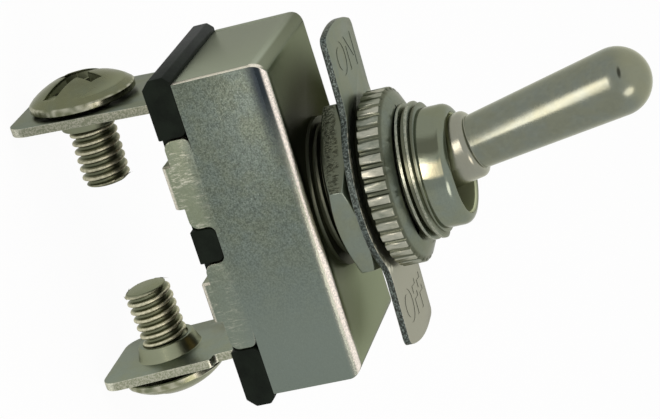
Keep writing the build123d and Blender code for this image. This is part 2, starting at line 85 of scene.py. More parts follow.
rest_lean = 10.7
pivot_height = 5.52
thread_radius = 5.95
collar_low = 9.2
bore_radius = 4.2
knurl_low = 4.9
knurl_teeth = 40
knurl_shift = 0.07
dark_spot_place = (-5.35, -2.4, 26.92)
plate_turn = -6.0
word_reach = 11.0

splay = radians(2.4)
base_depth = 10.75
half_strip = 0.4
screw_depth = 18.95
screw_radius = 2.085
screw_head = 4.7
screw_rim = 0.6
screw_rise = 2.3
slot_reach = 3.9
screw_dome = (screw_head ** 2 + (screw_rise - screw_rim) ** 2) / 2 / (screw_rise - screw_rim)

# For each screw: its side, its strip's x at the base, the gap under its head and its slot's turn in degrees
screw_places = {"left": (-1, -12.0, 0.25, -30), "right": (1, 11.3, 0.5, 20)}

slots = {row["node"]: row["material_slot"] for row in frame["record"]["subparts"]}
bodies = {node: body for body, members in frame["record"]["behaviour"]["bodies"].items()
          for node in members}
finishes = {}


# Numbers and colours in materials

class Wire:
    """A number on its way through a material. Arithmetic on it adds Math nodes."""

    def __init__(self, finish, socket):
        self.finish = finish
        self.socket = socket

    def math(self, operation, *terms):
        sockets = dict(enumerate(terms or (self,)))
        return self.finish.add("ShaderNodeMath", {"operation": operation}, sockets)[0]

    def __add__(self, other):
        return self.math("ADD", self, other)

    def __sub__(self, other):
        return self.math("SUBTRACT", self, other)

    def __rsub__(self, other):
        return self.math("SUBTRACT", other, self)

    def __mul__(self, other):
        return self.math("MULTIPLY", self, other)

    def __pow__(self, other):
        return self.math("POWER", self, other)

    __radd__ = __add__
    __rmul__ = __mul__

    def size(self):
        return self.math("ABSOLUTE")

    def above(self, low, high):
        """0 below low, 1 above high, and a smooth rise between them."""
        sockets = {"Value": self, "From Min": low, "From Max": high}
        return self.finish.add("ShaderNodeMapRange", {"interpolation_type": "SMOOTHSTEP"}, sockets)[0]

    def below(self, low, high):
        """1 below low, 0 above high, and a smooth fall between them."""
        return 1 - self.above(low, high)

    def between(self, low, full, fading, high):
        """1 from full to fading, with a smooth rise from low before it and a smooth fall to high after it."""
        return self.above(low, full) * self.below(fading, high)


class Finish:
    """A metal or a moulding on one Principled shader.

    Fixed values go on the shader's sockets, and what varies is wired. Across, front and height are X, Y and
    Z on the switch in mm, and facing_x, facing_y and facing_z say which way the surface faces.
    """

    def __init__(self, name, tone, roughness, **fixed):
        self.material = bpy.data.materials.new(name)
        self.material.use_nodes = True
        self.tree = self.material.node_tree
        self.tree.nodes.clear()
        output = self.tree.nodes.new("ShaderNodeOutputMaterial")
        self.shader = self.tree.nodes.new("ShaderNodeBsdfPrincipled")
        self.tree.links.new(self.shader.outputs[0], output.inputs["Surface"])
        for socket, value in fixed.items():
            self.shader.inputs[socket.replace("_", " ")].default_value = value
        self.tone = tone
        self.roughness = roughness
        _, normal, _, self.place, *_ = self.add("ShaderNodeTexCoord")
        in_mm = self.add("ShaderNodeVectorMath", {"operation": "SCALE"}, {0: self.place, "Scale": 1 / mm})[0]
        self.across, self.front, self.height = self.parts(in_mm)
        self.facing_x, self.facing_y, self.facing_z = self.parts(normal)

    def add(self, kind, settings=None, sockets=None):
        """Adds any node: its settings first, then the values or wires of its sockets. Gives its outputs."""
        node = self.tree.nodes.new(kind)
        for name, value in (settings or {}).items():
            setattr(node, name, value)
        for name, value in (sockets or {}).items():
            self.plug(node.inputs[name], value)
        return [Wire(self, output) for output in node.outputs]

    def plug(self, socket, value):
        if isinstance(value, Wire):
            self.tree.links.new(value.socket, socket)
        else:
            socket.default_value = value

    def parts(self, vector):
        return self.add("ShaderNodeSeparateXYZ", sockets={"Vector": vector})

    def reach(self):
        """Distance from the bushing's axis, in mm."""
        return (self.across ** 2 + self.front ** 2) ** 0.5

    def scaled(self, size, stretch=(1, 1, 1)):
        scale = tuple(1 / (size * mm * long) for long in stretch)
        return self.add("ShaderNodeMapping", sockets={"Vector": self.place, "Scale": scale})[0]

    def noise(self, size, stretch=(1, 1, 1), detail=3.0, roughness=0.55):
        """Cloudy noise with features of that size in mm, longer along an axis whose stretch is larger."""
        return self.add("ShaderNodeTexNoise", sockets={
            "Vector": self.scaled(size, stretch), "Scale": 1.0, "Detail": detail, "Roughness": roughness})[0]

    def cells(self, size):
        """A random level for each small cell of that size in mm, for speckle and chips."""
        sockets = {"Vector": self.scaled(size), "Scale": 1.0}
        return self.parts(self.add("ShaderNodeTexVoronoi", sockets=sockets)[1])[0]

    def mix(self, factor, low, high):
        """A colour between two, by a number from 0 to 1. Sockets 6 and 7 take a Mix node's two colours."""
        sockets = {0: factor, 6: self.opaque(low), 7: self.opaque(high)}
        return self.add("ShaderNodeMix", {"data_type": "RGBA"}, sockets)[2]

    def opaque(self, colour):
        return colour if isinstance(colour, Wire) else (*colour, 1.0)

    def tint(self, mask, share, colour):
        """Brings the tone towards a colour where the mask says so, by that share at most."""
        self.tone = self.mix(mask * share, self.tone, colour)

    def polish(self, mask, roughness):
        """Brings the roughness to this value where the mask is 1."""
        self.roughness = self.roughness + mask * (roughness - self.roughness)

    def shade(self, level, spread):
        """Darkens and lightens the tone by a level of 0 to 1, by that share either way."""
        factor = 1 - spread + level * (2 * spread)
        sockets = {0: self.tone, "Scale": factor}
        self.tone = self.add("ShaderNodeVectorMath", {"operation": "SCALE"}, sockets)[0]

    def done(self, relief, depth):
        """Wires the tone, the roughness and a relief of 0 to 1, that deep in mm, to the shader."""
        self.plug(self.shader.inputs["Base Color"], self.opaque(self.tone))
        self.plug(self.shader.inputs["Roughness"], self.roughness)
        bump = self.add("ShaderNodeBump", sockets={"Height": relief, "Distance": depth * mm})[0]
        self.plug(self.shader.inputs["Normal"], bump)
        return self.material


def toned(colour, share):
    return tuple(channel * share for channel in colour)


def tinged(colour, weights, share=1.0):
    """A colour with its channels weighed apart, then all of them by one share."""
    return tuple(channel * weight * share for channel, weight in zip(colour, weights))


def warmed(colour, share=1.0):
    return tinged(colour, (1.06, 1.0, 0.78), share)


def cooled(colour, share=1.0):
    return tinged(colour, (0.94, 1.01, 1.12), share)


def plated(name, tone, roughness, grain, stretch=(1, 1, 1), speckle=0.2, edge=0.7):
    """Nickel plating: fine grain that may run one way, small speckle, and faint warm and cool clouds.

    The edge is how bright the plating stays when it is seen at a grazing angle.
    """
    finish = Finish(name, tone, roughness, Metallic=1.0, Specular_Tint=(edge, edge, edge * 0.9, 1))
    cloud = finish.noise(2.2, detail=3.0).above(0.36, 0.64)
    finish.tone = finish.mix(0.35 + cloud * 0.3, cooled(tone), warmed(tone))
    finish.grain = finish.noise(grain, stretch, detail=4.0, roughness=0.7)
    finish.shade(finish.grain * 0.7 + finish.cells(grain * 1.2) * 0.3, speckle)
    finish.roughness = roughness * (0.8 + finish.grain * 0.4)
    return finish


def case_metal(nickel, bright):
    """Matt, speckled sheet with torn edges, brushed legs and a paler top, and painted light and shade on its
    bends, edges, top and ends.
    """
    shadow = (0.020, 0.026, 0.033)
    lit_end_tone = (0.37, 0.405, 0.315)
    shaded_end_bend_tone = (0.21, 0.23, 0.165)
    bend_highlight_tone = (1.0, 0.90, 0.80)
    torn_edge_highlight_tone = (1.0, 0.93, 0.80)
    case = plated("case_nickel", nickel, 0.34, 0.17, speckle=0.0, edge=0.45)
    endwards = case.facing_x.size()
    sidewards = case.facing_y.size()
    upwards = case.facing_z
    front = sidewards.above(0.5, 0.9)

    speckle = case.noise(0.15, detail=2.0, roughness=0.8).above(0.28, 0.72)
    flecks = case.noise(0.18, detail=3.0, roughness=0.9).above(0.54, 0.68)
    smooth = case.across.above(-3.0, 11.0)
    case.shade(speckle, 0.4)
    case.tint(front * smooth, 0.9, toned(nickel, 1.35))
    case.tint(front * flecks * (1 - smooth * 0.75), 0.5, toned(nickel, 2.1))

    # The top is toned paler, more so towards +X, and painted shade darkens it around the bushing, less
    # towards +X.
    top = upwards.above(0.9, 0.985)
    plus_x_end = case.across.above(-1.0, 6.5)
    case.tint(top, 0.9, case.mix(plus_x_end, warmed(nickel, 1.7), warmed(nickel, 2.5)))
    case.tint(top * case.reach().below(9.0, 14.0) * (1 - plus_x_end * 0.85), 0.94, warmed(nickel, 0.12))

    # A painted shadow darkens the front just below the long bend towards the -X end. Painted light makes the
    # end faces paler, and painted shade makes the bends beside them darker.
    shaded = case.height.above(-2.1, -1.0) * case.across.below(-12.5, -2.5)
    case.tint(front * shaded, 0.95, shadow)
    case.tint(endwards.above(0.15, 0.5), 0.95, case.mix(endwards.above(0.8, 0.95), shaded_end_bend_tone, lit_end_tone))

    long_bend = upwards.above(0.06, 0.3) * sidewards.above(0.1, 0.3)
    case.tint(long_bend * (1 - shaded), 0.35, toned(bright, 0.36))
    case.polish(long_bend, 0.2)
    # A painted highlight runs along the long bend, ragged at its edges.
    painted_highlight = upwards.between(0.54, 0.74, 0.91, 0.98) * sidewards.above(0.35, 0.5)
    ragged = 0.7 + case.noise(0.12, (1.5, 1.0, 1.0), detail=3.0).above(0.35, 0.65) * 0.3
    case.tint(painted_highlight * ragged, 1.0, bend_highlight_tone)

    legs = case.height.below(-9.6, -7.9)
    worn_end = case.across.below(-3.0, 1.0)
    streaks = case.noise(0.13, (1.0, 1.0, 5.0), detail=5.0, roughness=0.75).above(0.5, 0.64)
    patches = case.noise(1.1, (1.2, 1.0, 1.6), detail=2.0).above(0.36, 0.52) * (0.35 + worn_end * 0.65)
    case.tint(legs * (0.3 + worn_end * 0.7), 0.7, warmed(nickel, 1.9))
    case.tint(legs * patches * streaks, 0.75, toned(bright, 0.85))

    # The sheared and notched edges are torn, and carry a painted highlight.
    sheared = endwards.above(0.5, 0.8) * case.front.below(-6.9, -6.8)
    notched = legs * upwards.below(-0.7, -0.3)
    torn = case.noise(0.2, detail=4.0, roughness=0.8).above(0.36, 0.62)
    case.tint((sheared + notched) * (0.45 + torn * 0.55), 1.0, torn_edge_highlight_tone)
    return case.done(speckle * 0.5 + torn * legs * 0.5, 0.012)


def bushing_metal(nickel, bright):
    """Turned nickel, darkened by painted shade below the nuts and in the thread's grooves, with a painted
    highlight on its crests.
    """
    finish = plated("bushing_nickel", nickel, 0.26, 0.09, (9, 9, 1), 0.16)
    radius = finish.reach()
    thread = finish.height.between(0.25, 0.35, 9.0, 9.3)
    crests = radius.above(5.84, thread_radius)
    crest_patches = finish.noise(0.3, (1, 1, 0.6), detail=3.0).above(0.35, 0.65)
    # Painted shade darkens the thread's grooves, and a painted highlight lies on its crests in patches.
    finish.tint(thread * radius.below(5.56, 5.84), 0.8, warmed(nickel, 0.45))
    finish.tint(thread * crests * crest_patches, 0.5, toned(bright, 0.6))
    # Painted shade darkens the bushing below the nuts.
    below_nuts = finish.height.below(3.0, 3.6)
    finish.tint(below_nuts, 0.85, warmed(nickel, 0.3))
    finish.polish(below_nuts, 0.4)

    facing = finish.facing_x
    collar = finish.height.above(collar_low, collar_low + 0.2)
    # The collar's side that faces -X is toned warmer, as painted light.
    finish.tint(collar * facing.below(-0.7, -0.2), 0.6, warmed(nickel, 0.95))
    finish.polish(collar, 0.17)
    # Painted reflections run down the front of the collar's wall: a dark band, a cream highlight and a cool
    # band.
    wall = collar * radius.above(5.1, 5.15) * finish.facing_y.below(-0.5, 0.0)
    for band, share, tone in (((-0.80, -0.68, -0.56, -0.46), 0.7, warmed(nickel, 0.3)),
                              ((-0.44, -0.34, -0.20, -0.12), 0.6, warmed(bright, 0.8)),
                              ((-0.20, -0.12, -0.04, 0.10), 0.35, cooled(nickel, 0.5))):
        finish.tint(wall * facing.between(*band), share, tone)

    # Painted light makes the bore paler.
    inside = radius.below(bore_radius, bore_radius + 0.2)
    finish.tint(inside, 0.9, warmed(nickel, 3.2))
    finish.polish(inside, 0.5)
    return finish.done(finish.grain, 0.003)


def hex_nut_metal(nickel):
    """Smooth nickel with one dark flat that is gouged along its middle."""
    finish = plated("hex_nut_nickel", nickel, 0.32, 0.16, speckle=0.12)
    gouged = (finish.facing_x * -0.87 - finish.facing_y * 0.5).above(0.8, 0.95)
    gouges = (finish.noise(0.34, (0.6, 0.6, 1.2), detail=3.0, roughness=0.7).above(0.44, 0.6)
              * finish.height.between(1.75, 2.1, 2.9, 3.2))
    finish.tint(gouged, 0.75, warmed(nickel, 0.5))
    finish.tint(gouged * gouges, 0.75, warmed(nickel, 0.15))
    return finish.done(1 - gouges * gouged, 0.03)


def plate_metal(nickel, bright):
    """Brushed plate, paler at one tab, with dark torn sides, and painted highlights on the burrs of its edges
    and the chips of its rim.
    """
    finish = plated("plate_nickel", nickel, 0.34, 0.1, (9, 1, 1), 0.16)
    finish.tint(finish.across.above(-4.0, 9.0), 0.85, toned(bright, 0.48))
    flat = finish.facing_z.size()
    side = flat.below(0.2, 0.5)
    torn = finish.noise(0.16, detail=3.0, roughness=0.8).above(0.45, 0.62)
    finish.tint(side, 0.95, cooled(nickel, 0.1))
    finish.tint(side * torn, 0.42, cooled(nickel, 1.7))
    # A painted highlight runs along the burrs of the edges and lies on the chips of the rim round the
    # bushing.
    burr_highlight = flat.between(0.3, 0.5, 0.86, 0.97)
    finish.tint(burr_highlight * (0.35 + torn * 0.65), 0.8, toned(bright, 0.95))
    rim = finish.reach().above(7.45, 7.65) * finish.across.size().below(6.2, 6.8)
    chips = finish.cells(0.42).above(0.5, 0.62)
    finish.tint(finish.facing_z.above(0.2, 0.5) * rim * chips, 0.85, toned(bright, 0.95))
    return finish.done(finish.grain * 0.4 + torn * side * 0.6, 0.01)


def knurl_metal(nickel, bright):
    """Nickel with a painted highlight of its own strength on each tooth, over grooves and a washer face
    darkened by painted shade.
    """
    finish = plated("knurled_nickel", nickel, 0.3, 0.12, (1, 1, 2.5), speckle=0.24)
    rim = finish.height.between(knurl_low, knurl_low + 0.1, 6.9, 7.05)
    lands = finish.reach().above(7.46, 7.55)
    turn = finish.front.math("ARCTAN2", finish.front, finish.across)
    tooth = (turn * (knurl_teeth / (2 * pi)) + knurl_shift).math("FLOOR")
    own = finish.add("ShaderNodeTexWhiteNoise", {"noise_dimensions": "1D"}, {"W": tooth})[0]
    painted_highlight = finish.noise(0.25, (1, 1, 3), detail=4.0, roughness=0.7).above(0.3, 0.6)
    # Each tooth gets a painted highlight of its own strength, streaked along its length.
    finish.tint(rim * lands * (own * 0.6 + painted_highlight * 0.4), 0.8, toned(bright, 0.62))
    # Painted shade darkens the grooves, and the washer face under the nut as its shadow.
    finish.tint(rim * (1 - lands), 0.75, warmed(nickel, 0.4))
    finish.tint(finish.height.below(knurl_low, knurl_low + 0.1), 0.95, warmed(nickel, 0.07))
    return finish.done(finish.grain, 0.005)


def lever_metal(nickel, bright):
    """Polished, nearly neutral nickel, painted paler on the hub as painted light and paler at the tip, with a
    small dark spot there that is a painted reflection.
    """
    finish = plated("lever_chrome", nickel, 0.22, 0.3, (1, 1, 5), 0.12, edge=1.0)
    lean = radians(rest_lean)
    along = (finish.height - pivot_height) * cos(lean) - finish.across * sin(lean)
    # Painted light makes the hub paler.
    finish.tint(along.below(7.9, 8.1), 0.5, toned(bright, 0.42))
    finish.tint(along.above(21.5, 23.0), 0.5, warmed(nickel, 1.5))
    # A small dark spot near the tip is a painted reflection.
    across, front, height = dark_spot_place
    aside = ((finish.across - across) ** 2 + (finish.front - front) ** 2) * 0.3
    aside = (aside + (finish.height - height) ** 2 * 3) ** 0.5
    finish.tint(aside.below(0.12, 0.36), 0.85, warmed(nickel, 0.12))
    return finish.done(finish.grain, 0.001)


def screw_metal(nickel, bright):
    """Olive, mottled heads and threads, with painted shade in the grooves and round the recess, painted light
    inside the recess, and painted highlights on the crests and the rim.
    """
    crest_highlight_tone = (0.66, 0.63, 0.46)
    strip_out = 12.0
    finish = plated("screw_nickel", warmed(nickel, 0.93), 0.26, 0.3, speckle=0.1, edge=0.8)
    out = finish.across.size()
    right = finish.across.above(-1.0, 1.0)
    sideways = finish.height + screw_depth - (out - strip_out) * tan(splay)
    radius = (finish.front ** 2 + sideways ** 2) ** 0.5
    shank = out.below(strip_out - 0.1, strip_out + 0.1) * finish.facing_x.size().below(0.85, 0.97)
    crest_patches = finish.noise(0.3, detail=3.0).above(0.3, 0.65)
    # Painted shade darkens the thread's grooves, and a painted highlight lies on the crests in patches.
    finish.tint(shank * radius.below(1.74, 1.96), 0.35, warmed(nickel, 0.7))
    finish.tint(shank * radius.above(1.8, 2.05) * (0.5 + crest_patches * 0.5), 0.9, crest_highlight_tone)
    # The right screw is painted lighter and the left one darker, as painted light and shade.
    finish.shade(right, 0.12)
    finish.polish(shank, 0.45)

    head = out.above(strip_out + 0.3, strip_out + 0.4)
    # Painted shade darkens the head around the recess in patches, and a painted highlight lies on its rim.
    patchy = finish.noise(1.3, detail=2.0).above(0.3, 0.7)
    finish.tint(head * radius.between(0.4, 1.8, 2.2, 4.2) * (0.4 + patchy * 0.6), 0.5, warmed(nickel, 0.5))
    rim_highlight = radius.above(4.5, 4.62) * finish.noise(0.9, detail=1.0).above(0.3, 0.7)
    finish.tint(head * rim_highlight, 0.55, toned(bright, 0.8))
    tops = {name: crown_out(name) for name in screw_places}
    crown = tops["left"] - right * (tops["left"] - tops["right"]) - radius ** 2 * (0.5 / screw_dome)
    # Painted light makes the recess paler.
    recess = head * (crown - out).above(0.12, 0.3) * radius.below(slot_reach, slot_reach + 0.2)
    finish.tint(recess, 0.9, warmed(nickel, 1.4))
    finish.polish(recess, 0.5)
    return finish.done(finish.grain, 0.003)


def strip_metal(nickel, bright):
    """Terminal strip with speckled, torn edges and a painted highlight along their burred rims, the right
    strip painted lighter than the left.
    """
    finish = plated("terminal_nickel", nickel, 0.34, 0.12, (1, 1, 3), 0.14, edge=0.6)
    outer = finish.front.size().above(3.5, 3.8)
    side = finish.facing_y.size()
    torn = finish.noise(0.15, detail=3.0, roughness=0.8).above(0.42, 0.6)
    sheared = side.above(0.9, 0.98) * outer
    finish.tint(sheared, 0.8, warmed(nickel, 0.9))
    finish.tint(sheared * torn, 0.7, toned(bright, 0.6))
    # A painted highlight runs along the burred rims of the edges.
    burr_highlight = side.between(0.2, 0.45, 0.9, 0.98) * outer
    finish.tint(burr_highlight * (0.4 + torn * 0.6), 0.8, toned(bright, 1.1))
    boss = (1 - outer) * finish.facing_x.size().below(0.9, 0.98) * finish.height.between(-22, -21, -16, -15.6)
    finish.tint(boss, 0.8, warmed(nickel))
    # The right strip is painted lighter and the left one darker, as painted light and shade.
    finish.shade(finish.across.above(-1.0, 1.0), 0.13)
    return finish.done(finish.grain * 0.4 + torn * sheared * 0.6, 0.012)


def moulded_black(tone):
    """Black moulding with a fine skin and faint paler flow marks."""
    finish = Finish("black_moulding", tone, 0.5, Specular_IOR_Level=0.07)
    skin = finish.noise(0.16, detail=4.0, roughness=0.6)
    flow = finish.noise(1.8, detail=3.0).above(0.35, 0.7)
    finish.tone = finish.mix(flow * 0.5 + skin * 0.5, toned(tone, 0.5), toned(tone, 1.7))
    finish.roughness = 0.42 + skin * 0.2
    return finish.done(skin, 0.014)


def metals(props):
    """Every finish of the switch, by the record's material slot."""
    nickel = tuple(props.nickel)
    bright = tuple(props.wear_and_highlight_nickel)
    made = {
        "case_nickel": case_metal(tinged(nickel, (0.775, 0.82, 0.85)), bright),
        "bushing_nickel": bushing_metal(toned(nickel, 1.1), bright),
        "hex_nut_nickel": hex_nut_metal(toned(nickel, 1.1)),
        "plate_nickel": plate_metal(toned(nickel, 1.2), bright),
        "knurled_nickel": knurl_metal(toned(nickel, 0.98), bright),
        "lever_chrome": lever_metal(tinged(nickel, (1.07, 1.02, 1.03)), bright),
        "screw_nickel": screw_metal(nickel, bright),
        "terminal_nickel": strip_metal(toned(nickel, 1.3), bright),
        "black_moulding": moulded_black(tuple(props.moulding)),
    }
    for name, tone, roughness, grain, stretch in (
            ("eyelet_brass", (0.60, 0.42, 0.17), 0.3, 0.1, (1, 1, 1)),
            ("inner_steel", (0.34, 0.34, 0.33), 0.3, 0.08, (1, 1, 3)),
            ("plunger_steel", (0.38, 0.38, 0.37), 0.22, 0.06, (6, 6, 1)),
            ("contact_copper", (0.62, 0.30, 0.18), 0.32, 0.12, (5, 1, 1)),
            ("contact_silver", (0.62, 0.62, 0.60), 0.26, 0.1, (1, 1, 1))):
        finish = plated(name, tone, roughness, grain, stretch)
        made[name] = finish.done(finish.grain, 0.004)
    return made


# Shaping, one step at a time as at the bench

def only(piece):
    """Selects this piece and nothing else."""
    bpy.ops.object.select_all(action="DESELECT")
    piece.select_set(True)
    bpy.context.view_layer.objects.active = piece


def editing(piece):
    only(piece)
    bpy.ops.object.mode_set(mode="EDIT")
    bpy.ops.mesh.select_mode(type="VERT")


def closed():
    """Leaves edit mode with doubles merged and every face turned outwards."""
    bpy.ops.mesh.select_all(action="SELECT")
    bpy.ops.mesh.remove_doubles(threshold=fine_merge)
    bpy.ops.mesh.normals_make_consistent(inside=False)
    bpy.ops.object.mode_set(mode="OBJECT")


def settle(piece, place):
    """Moves a piece and puts its place into its mesh, so that its object stands at the origin."""
    piece.matrix_world = place
    only(piece)
    bpy.ops.object.transform_apply(location=True, rotation=True, scale=True)


def arc(radius, centre, turns):
    """Points (radius, height) on an arc in mm, at these angles in radians from level."""
    return [(centre[0] + radius * cos(turn), centre[1] + radius * sin(turn)) for turn in turns]


def chain(name, points):
    """A line of points (radius, height) in mm, drawn from a plane merged to one corner and extruded."""
    bpy.ops.object.select_all(action="DESELECT")
    radius, height = points[0]
    bpy.ops.mesh.primitive_plane_add(size=mm, location=(radius * mm, 0, height * mm))
    piece = bpy.context.object
    piece.name = name
    bpy.ops.object.transform_apply(location=True, rotation=True, scale=True)
    editing(piece)
    bpy.ops.mesh.select_all(action="SELECT")
    bpy.ops.mesh.merge(type="CENTER")
    for (radius, height), (next_radius, next_height) in zip(points, points[1:]):
        step = ((next_radius - radius) * mm, 0, (next_height - height) * mm)
        bpy.ops.mesh.extrude_region_move(TRANSFORM_OT_translate={"value": step})
    return piece


def turned(name, points, steps=round_steps):
    """A solid of revolution about Z, from its outline of (radius, height) points in mm."""
    piece = chain(name, points)
    bpy.ops.mesh.select_all(action="SELECT")
    bpy.ops.mesh.spin(steps=steps, angle=2 * pi, center=(0, 0, 0), axis=(0, 0, 1))
    closed()
    return piece


def threaded(name, outer, pitch, depth, low, high, steps=round_steps):
    """A solid rod with a right-hand thread from low to high, in mm, cut flat at both ends."""
    half_crest = pitch * 0.14
    half_root = pitch * 0.16
    flank = (pitch - 2 * half_crest - 2 * half_root) / 2
    inner = outer - depth
    lead_in = 1.37 * pitch
    spare_turns = 4
    start = low - lead_in
    rise = start + half_root
    piece = chain(name, [(inner, start), (inner, rise), (outer - depth * 0.5, rise + flank / 2),
                         (outer, rise + flank), (outer, rise + flank + 2 * half_crest),
                         (inner, start + pitch - half_root), (inner, start + pitch)])
    bpy.ops.object.mode_set(mode="OBJECT")
    turns = piece.modifiers.new("Turns", "SCREW")
    turns.axis = "Z"
    turns.angle = 2 * pi
    turns.screw_offset = pitch * mm
    turns.iterations = int((high - low) / pitch) + spare_turns
    turns.steps = steps
    turns.render_steps = steps
    turns.use_merge_vertices = True
    turns.merge_threshold = fine_merge
    bpy.ops.object.modifier_apply(modifier=turns.name)
    editing(piece)
    bpy.ops.mesh.select_all(action="SELECT")
    bpy.ops.mesh.remove_doubles(threshold=fine_merge)
    for height, side in ((low, -1), (high, 1)):
        bpy.ops.mesh.select_all(action="SELECT")
        bpy.ops.mesh.bisect(plane_co=(0, 0, height * mm), plane_no=(0, 0, side), use_fill=True,
                            threshold=1e-7, clear_outer=True)
    closed()
    return piece


def combine(piece, other, operation):
    """Joins another closed shape to a piece, cuts it out, or keeps what they share. The other is used up."""
    only(piece)
    step = piece.modifiers.new(operation.title(), "BOOLEAN")
    step.operation = operation
    step.solver = "EXACT"
    step.object = other
    bpy.ops.object.modifier_apply(modifier=step.name)
    bpy.data.objects.remove(other)


def block(name, low, high):
    """A plain cutting block between two corners in mm, used up by a cut."""
    bpy.ops.object.select_all(action="DESELECT")
    size = [(b - a) * mm for a, b in zip(low, high)]
    middle = [(a + b) / 2 * mm for a, b in zip(low, high)]
    bpy.ops.mesh.primitive_cube_add(size=1, location=middle, scale=size)
    piece = bpy.context.object
    piece.name = name
    bpy.ops.object.transform_apply(location=True, rotation=True, scale=True)
    return piece


def drilled(piece, radius, reach, height):
    """Cuts a round hole through a piece along Y, across the bushing's axis at that height, in mm."""
    drill = turned("drill", [(0, -reach), (radius, -reach), (radius, reach), (0, reach)], steps=32)
    settle(drill, Matrix.Translation((0, 0, height * mm)) @ Matrix.Rotation(pi / 2, 4, "X"))
    combine(piece, drill, "DIFFERENCE")


def softened(node, edge, name, steps=2):
    """A copy of a CAD node, its triangles merged and its sharp edges rounded by that much in mm."""
    piece = bpy.data.objects.new(name, frame["nodes"][node].data.copy())
    bpy.context.scene.collection.objects.link(piece)
    editing(piece)
    bpy.ops.mesh.customdata_custom_splitnormals_clear()
    bpy.ops.mesh.select_all(action="SELECT")
    bpy.ops.mesh.remove_doubles(threshold=fine_merge)
    bpy.ops.mesh.dissolve_limited(angle_limit=radians(1.0))
    bpy.ops.mesh.normals_make_consistent(inside=False)
    bpy.ops.object.mode_set(mode="OBJECT")
    round_edges(piece, edge, steps=steps)
    return piece


def round_edges(piece, edge, sharp=28.0, steps=2):
    """Rounds the edges of a piece that turn by more than that many degrees, by that much in mm."""
    only(piece)
    step = piece.modifiers.new("Edges", "BEVEL")
    step.width = edge * mm
    step.segments = steps
    step.limit_method = "ANGLE"
    step.angle_limit = radians(sharp)
    step.use_clamp_overlap = False
    step.harden_normals = False
    bpy.ops.object.modifier_apply(modifier=step.name)


def finish_piece(piece, node):
    """Smooths a piece, lets it stand for its node, and gives it the node's slot, body and metal."""
    only(piece)
    bpy.ops.object.shade_smooth_by_angle(angle=radians(smooth_angle))
    slot = slots[node]
    piece.data.materials.clear()
    piece.data.materials.append(finishes[slot])
    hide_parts(node)
    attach(piece, bodies[node])


# Screws

def screw_x(side, strip):
    """X of a strip's middle at its screw's height, in mm, since the strips splay out from the base."""
    return strip + side * (screw_depth - base_depth) * tan(splay)


def crown_out(name):
    """How far out the top of a screw's head lies, in mm from the switch's middle plane."""
    side, strip, gap, _ = screw_places[name]
    return side * screw_x(side, strip) + (half_strip + gap + screw_rise) * cos(splay)


def threaded_screw(name, seat, turn, threads):
    """A truss head screw along Z: its head's underside at that height in mm, its slot turned in degrees."""
    length, end_radius, end_rise, clear_radius = 7.7, 1.7, 0.6, 2.2
    cross_reach, cross_half, cross_depth = 2.5, 0.65, 1.35
    slot_half, slot_depth = 0.7, 1.05
    rounding = 0.05
    top = seat + screw_rise
    end = seat - length
    half = atan2(screw_head, screw_dome - screw_rise + screw_rim)
    crown = arc(screw_dome, (0, top - screw_dome), [pi / 2 - half * share / 10 for share in range(9, 0, -1)])
    shank = threaded("shank", screw_radius, threads.pitch, threads.depth, end + 0.1, seat + 0.2,
                     steps=small_round_steps)
    point = turned("point", [(0, end), (end_radius, end), (clear_radius, end + end_rise),
                             (clear_radius, seat + 0.3), (0, seat + 0.3)], steps=small_round_steps)
    combine(shank, point, "INTERSECT")
    screw = turned(name, [(0, seat), (screw_head - 0.1, seat), (screw_head, seat + 0.1),
                          (screw_head, seat + screw_rim - rounding), *crown, (0, top)])
    combine(screw, shank, "UNION")
    recess = block("recess", (-cross_reach, -cross_half, top - cross_depth),
                   (cross_reach, cross_half, top + 1))
    combine(recess, block("cross", (-cross_half, -cross_reach, top - cross_depth),
                          (cross_half, cross_reach, top + 1)), "UNION")
    combine(recess, block("slot", (-slot_reach, -slot_half, top - slot_depth),
                          (slot_reach, slot_half, top + 1.1)), "UNION")
    settle(recess, Matrix.Rotation(radians(turn), 4, "Z"))
    combine(screw, recess, "DIFFERENCE")
    round_edges(screw, rounding, sharp=50, steps=1)
    return screw


# Surroundings

def background_share(tree):
    """1 for what the camera sees directly, in a reflection or through glass, and 0 for lighting."""
    rays = tree.nodes.new("ShaderNodeLightPath")
    share = rays.outputs["Is Camera Ray"]
    for name in ("Is Glossy Ray", "Is Transmission Ray"):
        larger = tree.nodes.new("ShaderNodeMath")
        larger.operation = "MAXIMUM"
        tree.links.new(share, larger.inputs[0])
        tree.links.new(rays.outputs[name], larger.inputs[1])
        share = larger.outputs[0]
    return share


def source(tree, kind, **values):
    """Adds a light or a surface with these values, and gives its output."""
    node = tree.nodes.new(kind)
    for name, value in values.items():
        node.inputs[name].default_value = value
    return node.outputs[0]


def blended(tree, share, first, second, kind):
    """Wires a blend of two lights or surfaces, from the first to the second, to an output of this kind."""
    blend = tree.nodes.new("ShaderNodeMixShader")
    output = tree.nodes.new(kind)
    for wire, socket in zip((share, first, second), blend.inputs):
        tree.links.new(wire, socket)
    tree.links.new(blend.outputs[0], output.inputs["Surface"])


def white_room(strength):
    """A white background over an even, dimmer light."""
    world = bpy.data.worlds.new("white_room")
    world.use_nodes = True
    tree = world.node_tree
    tree.nodes.clear()
    lit = source(tree, "ShaderNodeBackground", Color=(1, 1, 1, 1), Strength=strength)
    shown = source(tree, "ShaderNodeBackground", Color=(1, 1, 1, 1), Strength=1.0)
    blended(tree, background_share(tree), lit, shown, "ShaderNodeOutputWorld")
    return world


